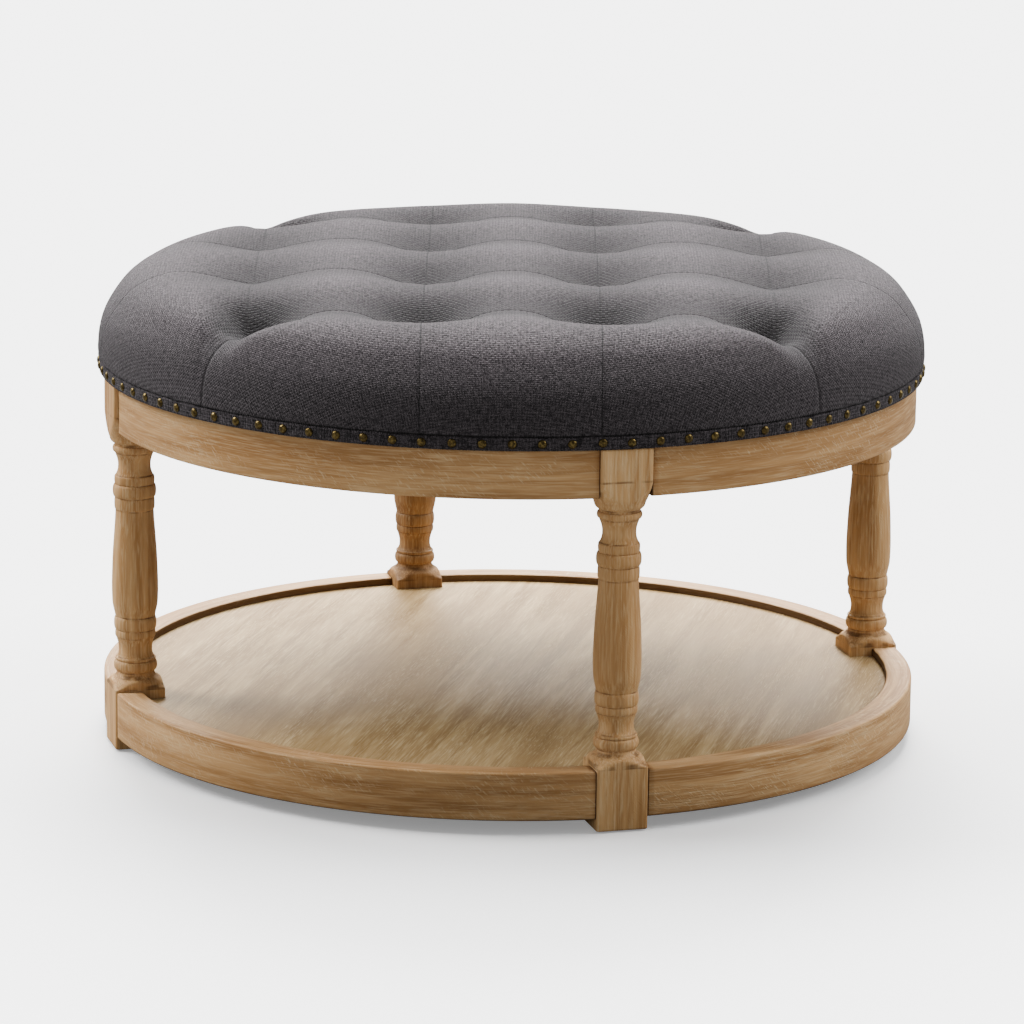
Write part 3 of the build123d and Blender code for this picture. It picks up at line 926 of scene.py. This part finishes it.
@dataclass
class TuftedSeat:
    """The linen cushion: a domed crown with sixteen tufts, sewn channels and drawn-in sides."""

    bottom: float = 0.4085
    section: tuple[Point, ...] = (
        (0.0, 0.5412), (0.15, 0.5400), (0.25, 0.5379), (0.30, 0.5361), (0.35, 0.5331),
        (0.37, 0.5308), (0.396, 0.5244), (0.41, 0.5180), (0.4284, 0.5050), (0.4395, 0.4902),
        (0.4494, 0.4702), (0.4534, 0.4545), (0.4554, 0.4385),
    )
    tuck: tuple[Point, ...] = (
        (0.4558, 0.4335), (0.4559, 0.430), (0.4556, 0.427), (0.4550, 0.4246), (0.4538, 0.4230),
        (0.4530, 0.4220), (0.4528, 0.418), (0.4527, 0.414), (0.4525, 0.4100),
    )
    # How many of the section's marks make up its side, and how finely both parts are traced.
    side_marks: int = 8
    crown_rows: int = 130
    side_rows: int = 60
    round_steps: int = 600
    # How deep the tufts, the channels and the creases in them are.
    inner_tuft: float = 0.018
    outer_tuft: float = 0.032
    inner_channel: float = 0.0065
    outer_channel: float = 0.0092
    crease_depth: float = 0.0012
    # How far a crease and the funnel of a tuft reach.
    crease_reach: float = 0.0045
    funnel_reach: float = 0.028
    # How far the outer rows' hollows reach outwards, between the tufts and at the corners.
    row_reach: float = 0.095
    corner_reach: float = 0.042
    # By what share the corners reach further, and all tufts pull harder, towards the front.
    corner_lean: float = 0.34
    front_lean: float = 0.25
    # By what share the outer tufts pull less beside the inner rows.
    side_relief: float = 0.48
    # The depth that the foot of the side keeps, and the heights where it grows to the full one.
    side_share: float = 0.12
    side_grows: Point = (0.4395, 0.512)
    # The heights where the cloth comes free of the frame.
    frees: Point = (0.425, 0.455)
    # The simulation: its points' spacing, its length, and how hard the filling pushes.
    inset: float = 0.003
    voxel: float = 0.005
    frames: int = 16
    pressure: float = 4.0
    stretch_stiffness: float = 18.0
    bending_stiffness: float = 1.5
    # What it holds: the tufts, everything below a height, and the seams by a share.
    held_reach: float = 0.010
    held_height: float = 0.43
    seam_reach: float = 0.004
    seam_hold: float = 0.35
    # How far a point may move, where the settled form starts to count, and where it is full.
    cap: float = 0.009
    settled: Point = (0.45, 0.50)
    ray_reach: float = 0.03
    # How much painted shade darkens the side, the heights where that fades, and how soon painted
    # shade darkens a hollow.
    side_shade: float = 0.36
    side_shaded: Point = (0.455, 0.515)
    shade_depth: float = 0.0095

    def outline(self) -> Array:
        """Trace the crown's section from its middle out and down to the frame.

        Returns:
            Radius, height, and the outward direction's two parts, point by point.
        """
        marks = np.array(self.section)
        way = np.concatenate([[0], np.cumsum(np.hypot(*np.diff(marks, axis=0).T))])
        slopes = np.gradient(marks, way, axis=0)
        slopes[0], slopes[-1] = (1, 0), (0, -1)
        shoulder = way[-self.side_marks]
        crown = np.linspace(0, shoulder, self.crown_rows)[:-1]
        fine = np.concatenate([crown, np.linspace(shoulder, way[-1], self.side_rows)])
        traced = hermite(marks.T, way, slopes.T, fine).T
        line = np.concatenate([traced, self.tuck, [(0.45, self.bottom)]])
        along = np.gradient(line, axis=0)
        length = np.hypot(along[:, 0], along[:, 1])
        outward = np.stack([-along[:, 1], along[:, 0]], 1) / length[:, None]
        outward[:, 1] = np.abs(outward[:, 1])
        outward[0] = (0, 1)
        return np.concatenate([line, outward], 1)

    @staticmethod
    def bell(gap: Array, reach: Array | float) -> Array:
        """Fall smoothly from one on a line to zero at its reach."""
        return np.cos(0.5 * math.pi * np.clip(np.abs(gap) / reach, 0, 1)) ** 2

    def outer_reach(self, own: Array, other: Array, along: Array) -> Array:
        """Work out how far an outer row's hollow reaches, shorter beyond the outermost tufts.

        Args:
            own: Distance from the middle across the row.
            other: Distance from the middle along the row.
            along: Place along the view of the rows.

        Returns:
            The reach at each place.
        """
        corner = self.corner_reach * (1 - self.corner_lean * along / OUTER_ROW)
        share = smoothstep(INNER_ROW + 0.05, OUTER_ROW - 0.01, other)
        reach = self.row_reach + (corner - self.row_reach) * share
        return np.where(own > OUTER_ROW, reach, INNER_ROW)

    def channels(
        self, wide: Array, deep: Array, reaches: tuple, reach: Array
    ) -> tuple[Array, Array]:
        """Work out the channels between the tufts and the slanting ones down the sides.

        Args:
            wide: Distance from the middle across the rows.
            deep: Distance from the middle along them.
            reaches: How far the outer rows' hollows reach, both ways.
            reach: Distance from the middle.

        Returns:
            How much of the outer channel's depth each place has, and how much of a crease.
        """
        inner = (1 - 0.75 * smoothstep(0.30, 0.40, reach)) * self.inner_channel / self.outer_channel
        slant = 0.3 * smoothstep(OUTER_ROW - 0.02, OUTER_ROW + 0.02, np.minimum(wide, deep))
        rows = (
            (wide - INNER_ROW, INNER_ROW, inner),
            (deep - INNER_ROW, INNER_ROW, inner),
            (wide - OUTER_ROW, reaches[0], 1 - smoothstep(OUTER_ROW, OUTER_ROW + 0.06, deep)),
            (deep - OUTER_ROW, reaches[1], 1 - smoothstep(OUTER_ROW, OUTER_ROW + 0.06, wide)),
            ((wide - deep) * math.sqrt(0.5), 0.04, slant),
        )
        level, sewn = 1.0, 0.0
        for gap, width, strength in rows:
            level = level * (1 - strength * self.bell(gap, width))
            sewn = np.maximum(sewn, strength * np.exp(-np.abs(gap) / self.crease_reach))
        return 1 - level, sewn

    def tufts(self, wide: Array, deep: Array, reaches: tuple) -> Array:
        """Work out the hollows round the tufts.

        Args:
            wide: Distance from the middle across the rows.
            deep: Distance from the middle along them.
            reaches: How far the outer rows' hollows reach, both ways.

        Returns:
            One at each tuft, falling to zero between them.
        """
        cross, gaps = 1.0, []
        for own, reach in zip((wide, deep), reaches):
            inner, outer = own - INNER_ROW, own - OUTER_ROW
            cross = cross * np.maximum(self.bell(inner, INNER_ROW), self.bell(outer, reach))
            outer = np.where(own > OUTER_ROW, outer * INNER_ROW / reach, outer)
            gaps.append(np.minimum(np.abs(inner), np.abs(outer)))
        funnel = np.exp(-((np.hypot(*gaps) / self.funnel_reach) ** 1.3))
        return 0.65 * cross**1.2 + 0.35 * funnel

    def sunk(self, across: Array, along: Array) -> Array:
        """Work out how deep the tufts and channels draw the cloth in.

        Args:
            across: Place across the rows.
            along: Place along the view of the rows.

        Returns:
            Depth below the crown at each place.
        """
        wide, deep = np.abs(across), np.abs(along)
        reaches = self.outer_reach(wide, deep, along), self.outer_reach(deep, wide, along)
        reach = np.hypot(across, along)
        channel, sewn = self.channels(wide, deep, reaches, reach)
        tuft = self.inner_tuft + (self.outer_tuft - self.inner_tuft) * smoothstep(0.13, 0.40, reach)
        beside = smoothstep(INNER_ROW, OUTER_ROW, wide)
        beside = self.side_relief * beside * (1 - smoothstep(INNER_ROW, OUTER_ROW, deep))
        pull = (1 - self.front_lean * along / OUTER_ROW) * (1 - beside)
        depth = self.outer_channel * channel + tuft * self.tufts(wide, deep, reaches)
        return depth * pull + self.crease_depth * sewn

    def points(self, inset: float = 0.0) -> tuple[Array, Array]:
        """Work out the cushion's rows of points.

        Args:
            inset: How much smaller the crown is made all over.

        Returns:
            Rows of points from the middle outwards, in metres, and how deep each is drawn in.
        """
        radius, height, out, up = self.outline()[1:].T[:, :, None]
        angle = circle(self.round_steps)
        turned = angle - math.radians(TUFT_TURN)
        depth = self.sunk(radius * np.cos(turned), radius * np.sin(turned))
        share = self.side_share + (1 - self.side_share) * smoothstep(*self.side_grows, height)
        drawn = depth * share * smoothstep(*self.frees, height)
        depth = drawn + inset * smoothstep(0.42, 0.44, height)
        return polar(radius - depth * out, angle, height - depth * up), drawn

    def closed(self, name: str, rows: Array) -> Piece:
        """Close the rows into one solid cushion with a flat underside.

        Args:
            name: Name of the piece.
            rows: Rows of points from the middle outwards.

        Returns:
            The closed mesh.
        """
        columns = rows.shape[1]
        top = rows[0].mean(axis=0)
        under = [rows[-1] * [share, share, 1] for share in (0.94, 0.6, 0.25)]
        count = len(rows) + len(under)
        points = np.concatenate([rows.reshape(-1, 3), *under, [top], [[0, 0, self.bottom]]])
        faces = [face[::-1] for face in skin(count, columns)]
        faces += fan(len(points) - 2, 0, columns)
        faces += fan(len(points) - 1, (count - 1) * columns, columns, over=True)
        return mesh_piece(name, points, faces)

    @staticmethod
    def places(mesh: bpy.types.Mesh) -> Array:
        """Read where a mesh's points are.

        Args:
            mesh: The mesh.

        Returns:
            The points.
        """
        flat = np.zeros(len(mesh.vertices) * 3)
        mesh.vertices.foreach_get("co", flat)
        return flat.reshape(-1, 3)

    def evened(self) -> Piece:
        """Make a slightly smaller cushion whose points are evenly spaced.

        Returns:
            The cushion, selected and active.
        """
        piece = self.closed("seat_filling", self.points(self.inset)[0])
        bpy.context.view_layer.objects.active = piece
        remesh = piece.modifiers.new("even", "REMESH")
        remesh.mode = "VOXEL"
        remesh.voxel_size = self.voxel
        bpy.ops.object.select_all(action="DESELECT")
        piece.select_set(True)
        bpy.ops.object.modifier_apply(modifier=remesh.name)
        return piece

    def hold(self, piece: Piece, place: Array) -> None:
        """Hold the tufts and the foot of the sides, and the seams by a share.

        Args:
            piece: The cushion.
            place: Where its points are.
        """
        turn = math.radians(-TUFT_TURN)
        x, y, z = place.T
        across = np.abs(x * math.cos(turn) - y * math.sin(turn))
        along = np.abs(x * math.sin(turn) + y * math.cos(turn))
        gaps = [
            np.minimum(np.abs(own - INNER_ROW), np.abs(own - OUTER_ROW)) for own in (across, along)
        ]
        held = (np.hypot(*gaps) < self.held_reach) | (z < self.held_height)
        seam = np.minimum(*gaps) < self.seam_reach
        group = piece.vertex_groups.new(name="held")
        for chosen, weight in ((held, 1.0), (seam & ~held, self.seam_hold)):
            group.add(np.nonzero(chosen)[0].tolist(), weight, "REPLACE")

    def blow_up(self, piece: Piece) -> None:
        """Let the filling push the cloth out.

        Args:
            piece: The cushion, with its held points.
        """
        cloth = piece.modifiers.new("cloth", "CLOTH")
        settings = cloth.settings
        settings.quality = 5
        settings.use_pressure = True
        settings.uniform_pressure_force = self.pressure
        settings.effector_weights.gravity = 0
        settings.vertex_group_mass = "held"
        settings.tension_stiffness = self.stretch_stiffness
        settings.compression_stiffness = self.stretch_stiffness
        settings.bending_stiffness = self.bending_stiffness
        cloth.point_cache.frame_start = 1
        cloth.point_cache.frame_end = self.frames
        for frame in range(1, self.frames + 1):
            bpy.context.scene.frame_set(frame)
        bpy.ops.object.modifier_apply(modifier=cloth.name)

    def filled(self) -> BVHTree:
        """Blow the cushion up with a cloth simulation, held at its tufts and sides.

        Returns:
            The settled surface.
        """
        piece = self.evened()
        place = self.places(piece.data)
        self.hold(piece, place)
        self.blow_up(piece)
        mesh = piece.data
        moved = self.places(mesh) - place
        length = np.linalg.norm(moved, axis=1)
        moved *= np.minimum(1, self.cap / np.maximum(length, 1e-9))[:, None]
        moves = length.mean() / MM, length.max() / MM
        LOG.info("filling moved %.1f mm on average, %.1f at most", *moves)
        mesh.vertices.foreach_set("co", (place + moved).ravel())
        mesh.update()
        tree = BVHTree.FromPolygons(
            [v.co for v in mesh.vertices], [list(p.vertices) for p in mesh.polygons]
        )
        bpy.data.objects.remove(piece)
        bpy.context.scene.frame_set(1)
        return tree

    def lay_on(self, surface: BVHTree, rows: Array) -> None:
        """Move the crown's points to the settled surface.

        Args:
            surface: The settled surface.
            rows: Rows of points from the middle outwards, which are changed.
        """
        angle = circle(rows.shape[1])
        for row, (out, up) in zip(rows, self.outline()[1:, 2:]):
            if row[:, 2].max() < self.settled[0]:
                continue
            for spot, turn in zip(row, angle):
                ray = Vector((out * math.cos(turn), out * math.sin(turn), up)).normalized()
                origin = Vector(spot)
                hit = surface.ray_cast(origin + ray * self.ray_reach, -ray, 2 * self.ray_reach)[0]
                if hit is not None:
                    spot[:] = origin.lerp(hit, float(smoothstep(*self.settled, spot[2])))

    def build(self, material: Material) -> None:
        """Args:
            material: Its linen.
        """
        rows, drawn = self.points()
        self.lay_on(self.filled(), rows)
        piece = self.closed("tufted_cushion", rows)
        # Painted shade: darker where the tufts and channels draw the cloth in, and down the sides.
        shade = np.zeros(len(piece.data.vertices))
        side = self.side_shade * (1 - smoothstep(*self.side_shaded, rows[:, :, 2]))
        shade[: drawn.size] = (1 - (1 - side) * np.exp(-drawn / self.shade_depth)).ravel()
        set_mask(piece, "hollow_and_side_shade", shade)
        settle(piece, material, "linen", "seat_cover", "seat_foam")


@dataclass
class NailedTrim:
    """The folded linen band at the foot of the cushion and its row of domed nails."""

    bottom: float = 0.4085
    height: float = 0.0142
    inner: float = 0.4528
    outer: float = 0.4550
    steps: int = 736
    # The band's section, as shares of its thickness and height.
    band_section: tuple[Point, ...] = (
        (0.0, 0.0), (0.55, 0.0), (0.9, 0.05), (1.0, 0.14), (1.0, 0.3), (0.98, 0.5), (1.0, 0.7),
        (0.98, 0.86), (0.86, 0.96), (0.6, 1.0), (0.2, 0.98), (0.0, 0.93), (0.0, 0.5),
    )
    # Half of a nail's section, as shares of its radius and dome.
    nail_section: tuple[Point, ...] = (
        (0.0, 1.0), (0.3, 0.955), (0.56, 0.83), (0.78, 0.6), (0.92, 0.32), (1.0, 0.06),
        (0.98, -0.25),
    )
    nail_height: float = 0.4155
    nail_radius: float = 0.0049
    nail_dome: float = 0.0027
    nail_sunk: float = 0.0006
    nail_count: int = 92
    nail_phase: float = 0.4
    nail_sides: int = 18
    # How unevenly the nails are driven: along the row, in height, and in how they tip.
    stray_angle: float = 0.0006
    stray_height: float = 0.00018
    stray_tip: float = 0.035
    seed: int = 7

    def band(self) -> Piece:
        """Make the band, puckered between its nails.

        Returns:
            The band's mesh.
        """
        angle = circle(self.steps)
        beat = 0.5 + 0.5 * np.cos(self.nail_count * (angle - math.radians(self.nail_phase)))
        ripple = 0.0004 * np.sin(angle * 61 + 1.3) + 0.0003 * np.sin(angle * 37)
        thick = self.outer - self.inner
        rows = []
        for out, up in self.band_section:
            hold = 1 - 0.5 * beat * math.exp(-(((up - 0.5) / 0.3) ** 2))
            level = self.bottom + self.height * up + (ripple - 0.0004 * beat) * up
            rows.append(polar(self.inner + thick * out * hold, angle, level))
        points = np.concatenate(rows)
        faces = skin(len(rows) + 1, self.steps)
        return mesh_piece("linen_band", points, [[k % len(points) for k in face] for face in faces])

    def nails(self) -> Piece:
        """Make the row of domed nail heads.

        Returns:
            One mesh with every nail.
        """
        ring = self.nail_sides
        rng = np.random.default_rng(self.seed)
        points, faces = [], []
        for nail in range(self.nail_count):
            angle = math.radians(self.nail_phase) + 2 * math.pi * nail / self.nail_count
            angle += rng.normal(0, self.stray_angle)
            level = self.nail_height + rng.normal(0, self.stray_height)
            tip = rng.normal(0, self.stray_tip, 2)
            first = len(points)
            out = Vector((math.cos(angle), math.sin(angle), 0))
            side = Vector((-math.sin(angle), math.cos(angle), 0))
            base = out * (self.outer - self.nail_sunk)
            for share, rise in self.nail_section:
                for step in range(ring if share else 1):
                    turn = 2 * math.pi * step / ring
                    sideways = self.nail_radius * share * math.cos(turn)
                    upward = self.nail_radius * share * math.sin(turn)
                    lean = sideways * tip[0] + upward * tip[1]
                    spot = base + out * (self.nail_dome * rise + lean) + side * sideways
                    points.append((spot.x, spot.y, level + upward))
            faces += fan(first, first + 1, ring)
            faces += skin(len(self.nail_section) - 1, ring, first + 1)
            faces.append([len(points) - ring + k for k in range(ring)])
        piece = mesh_piece("domed_nails", np.array(points), faces)
        shell = bmesh.new()
        shell.from_mesh(piece.data)
        bmesh.ops.recalc_face_normals(shell, faces=shell.faces)
        shell.to_mesh(piece.data)
        shell.free()
        return piece

    def build(self, linen: Material, brass: Material) -> None:
        """Make the band and its nails.

        Args:
            linen: Finish of the band.
            brass: Finish of the nails.
        """
        band = self.band()
        settle(band, linen, "linen", "trim_band")
        settle(self.nails(), brass, "antique_brass", "trim_nails")


@dataclass
class DustSheet:
    """The dark cloth stretched under the deck, cut round the legs and stapled along its edge."""

    radius: float = 0.4182
    leg_face: float = 0.3952
    half_notch: float = 0.0296
    level: float = 0.4079
    thickness: float = 0.0006
    clearance: float = 0.0004
    sag: float = 0.0035
    pucker: float = 0.0004
    pucker_count: int = 44
    pucker_reach: float = 0.16
    rings: int = 26
    steps: int = 288

    def build(self, material: Material) -> None:
        """Make the cloth.

        Args:
            material: Its finish.
        """
        angle = circle(self.steps)
        wide, deep = np.abs(np.cos(angle)), np.abs(np.sin(angle))
        near_leg = np.minimum(wide, deep) * self.radius < self.half_notch
        face = self.leg_face / np.maximum(wide, deep)
        edge = np.where(near_leg, np.minimum(self.radius, face), self.radius)
        under, over = [], []
        for share in np.linspace(1, 0, self.rings + 1)[:-1]:
            loose = math.sin(math.pi * min(1.0, 1.15 * (1 - share)) / 2) ** 1.5
            ripple = self.pucker * np.sin(self.pucker_count * angle)
            ripple = ripple * (1 - smoothstep(0.0, self.pucker_reach, 1 - share))
            drop = self.sag * loose + self.clearance + ripple
            under.append(polar(edge * share, angle, self.level - self.thickness - drop))
            over.append(polar(edge * share, angle, self.level - drop))
        middle = self.level - self.sag - self.clearance
        rows = under[::-1] + over
        points = np.concatenate(rows + [[[0, 0, middle - self.thickness], [0, 0, middle]]])
        faces = skin(len(rows), self.steps)
        faces += fan(len(points) - 2, 0, self.steps, over=True)
        faces += fan(len(points) - 1, (len(rows) - 1) * self.steps, self.steps)
        piece = mesh_piece("dust_sheet", points, faces)
        settle(piece, material, "dust_cloth", "dust_cover")


@dataclass
class StudioStage:
    """The pale floor, the soft lights and the camera at the photograph's angle."""

    distance: float = 5.4579
    height: float = 1.4945
    azimuth: float = -15.49
    pitch: float = 0.2258
    roll: float = 0.0112
    yaw: float = 0.0005
    lens: float = 176.71
    air: float = 0.28
    floor_size: float = 60.0
    floor_tone: float = 0.92
    floor_bounce: float = 0.15
    floor_glow: float = 0.25
    # Each light's direction in degrees round the object as seen from the camera's side, its
    # height in degrees, its strength, and its width in degrees.
    suns: tuple[tuple[str, float, float, float, float], ...] = (
        ("window_left_back", -112, 38, 5.4, 36),
        ("window_right_back", 103, 38, 3.2, 40),
        ("window_back", 180, 38, 8.0, 30),
        ("ceiling", 180, 62, 7.4, 40),
        ("front_fill", -30, 14, 0.45, 60),
    )

    def floor(self) -> None:
        """Lay the plain floor, which looks paler to the camera than it is to the light."""
        half = self.floor_size / 2
        corners = np.array([(-half, -half, 0), (half, -half, 0), (half, half, 0), (-half, half, 0)])
        piece = mesh_piece("studio_floor", corners, [[0, 1, 2, 3]], smooth=False)
        surface = Surface("pale_floor")
        desk = surface.desk
        seen = desk.add("ShaderNodeLightPath").outputs["Is Camera Ray"]
        bounce, tone = ((value,) * 3 + (1.0,) for value in (self.floor_bounce, self.floor_tone))
        material = surface.dress({
            "Base Color": desk.blend(seen, bounce, tone),
            "Roughness": 0.95,
            "Specular IOR Level": 0.0,
            "Emission Color": WHITE,
            "Emission Strength": desk.math("MULTIPLY", seen, self.floor_glow),
        })
        piece.data.materials.append(material)

    def lights(self) -> None:
        """Set the soft studio light."""
        scene = bpy.context.scene
        scene.world = bpy.data.worlds.new("studio_air")
        scene.world.use_nodes = True
        backdrop = scene.world.node_tree.nodes["Background"]
        backdrop.inputs["Color"].default_value = WHITE
        backdrop.inputs["Strength"].default_value = self.air
        for name, azimuth, elevation, strength, spread in self.suns:
            light = bpy.data.lights.new(name, "SUN")
            light.energy = strength
            light.angle = math.radians(spread)
            lamp = bpy.data.objects.new(name, light)
            scene.collection.objects.link(lamp)
            a, e = math.radians(azimuth + self.azimuth), math.radians(elevation)
            back = (math.sin(a) * math.cos(e), -math.cos(a) * math.cos(e), math.sin(e))
            lamp.rotation_mode = "QUATERNION"
            lamp.rotation_quaternion = Vector(back).to_track_quat("Z", "Y")

    def camera(self) -> None:
        """Set the camera where the photograph was taken from."""
        data = bpy.data.cameras.new("photo_camera")
        data.lens = self.lens
        data.sensor_width = 36.0
        data.clip_end = 200.0
        camera = bpy.data.objects.new("photo_camera", data)
        bpy.context.scene.collection.objects.link(camera)
        turn = math.radians(self.azimuth)
        look = turn - self.yaw
        level = math.cos(self.pitch)
        ahead = Vector((-math.sin(look) * level, math.cos(look) * level, -math.sin(self.pitch)))
        right = Vector((math.cos(look), math.sin(look), 0))
        up = right.cross(ahead)
        right, up = (
            right * math.cos(self.roll) + up * math.sin(self.roll),
            up * math.cos(self.roll) - right * math.sin(self.roll),
        )
        spot = (math.sin(turn) * self.distance, -math.cos(turn) * self.distance, self.height)
        frame = Matrix((right, up, -ahead)).transposed().to_4x4()
        camera.matrix_world = Matrix.Translation(spot) @ frame
        bpy.context.scene.camera = camera

    def build(self) -> None:
        """Set the floor, the lights and the camera."""
        self.floor()
        self.lights()
        self.camera()


@dataclass
class HiddenParts:
    """The solids that keep their own shape: shelf, deck, blocks, cleats, pads and fastenings."""

    def build(self, nodes: dict, effects: SharedEffects) -> None:
        """Dress the solids.

        Args:
            nodes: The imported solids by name.
            effects: The shared node groups.
        """
        shelf = LimedWood(
            "limed_shelf", GrainLay.BOARD,
            colour(134, 106, 66), colour(180, 151, 106), colour(210, 186, 144),
            roughness=0.5, coat=0.0, shine=0.05, filler=0.3, clouds=0.6,
        )
        finishes = {("shelf_panel",): shelf.build(effects)}
        blocks = ("corner_block", "shelf_cleat")
        fastenings = ("leg_bolts", "leg_nuts", "deck_screws", "shelf_screws", "tuft_staples")
        # The solids, and their finish by name, two tones, roughness, metal, grain and bump.
        for starts, name, tone, second, *values in (
            (blocks, "inner_wood", (176, 140, 98), (158, 120, 80), 0.7, 0, 26),
            (("seat_deck",), "deck_ply", (186, 152, 110), (166, 132, 92), 0.75, 0, 34),
            (("foot_pads",), "foot_felt", (86, 68, 54), (66, 52, 42), 0.95, 0, 900, 0.0006),
            (fastenings, "zinc_steel", (176, 176, 172), (146, 146, 142), 0.38, 1, 300),
            (("tuft_twine",), "waxed_twine", (206, 196, 176), (180, 168, 146), 0.8, 0, 700),
        ):
            finish = PlainFinish(name, colour(*tone), colour(*second), *values)
            finishes[starts] = finish.build()
        for name, node in nodes.items():
            for starts, material in finishes.items():
                if name.startswith(starts):
                    node.data.materials.clear()
                    node.data.materials.append(material)
                    LOG.info("%s keeps its solid in %s", name, material.name)


def main() -> None:
    """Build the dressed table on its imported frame."""
    logging.basicConfig(level=logging.INFO, format="%(name)s: %(message)s")
    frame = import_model()
    effects = SharedEffects()
    StudioStage().build()
    upright = LimedWood("limed_leg", GrainLay.UPRIGHT)
    # Painted shade: the back leg gets a darker copy of the leg finish, as it stands in shade.
    back_leg_shade = LimedWood(
        "limed_back_leg_painted_shade", GrainLay.UPRIGHT,
        colour(112, 80, 48), colour(150, 114, 74), colour(176, 142, 100),
    )
    curved = LimedWood(
        "limed_apron", GrainLay.ROUND,
        colour(148, 107, 64), colour(196, 154, 104), colour(218, 185, 139), scuffs=0.34,
    )
    # Painted shade: the band gets a darker copy of the seat linen, to match the shaded sides of the
    # cushion.
    band = SeatLinen(
        "band_linen_painted_shade", colour(25, 23, 24), colour(46, 42, 44), colour(82, 76, 79), seams=False
    )
    brass = PlainFinish(
        "antique_brass", colour(104, 88, 50), colour(54, 44, 26), 0.36, metallic=1.0, grain=420
    )
    dust = PlainFinish("dust_cloth", colour(34, 34, 36), colour(48, 48, 50), 0.9, grain=1200)
    TurnedLegs().build(upright.build(effects), back_leg_shade.build(effects))
    RingFrames().build(curved.build(effects))
    HiddenParts().build(frame["nodes"], effects)
    TuftedSeat().build(SeatLinen().build(effects))
    NailedTrim().build(band.build(effects), brass.build())
    DustSheet().build(dust.build())


if __name__ == "__main__":
    main()
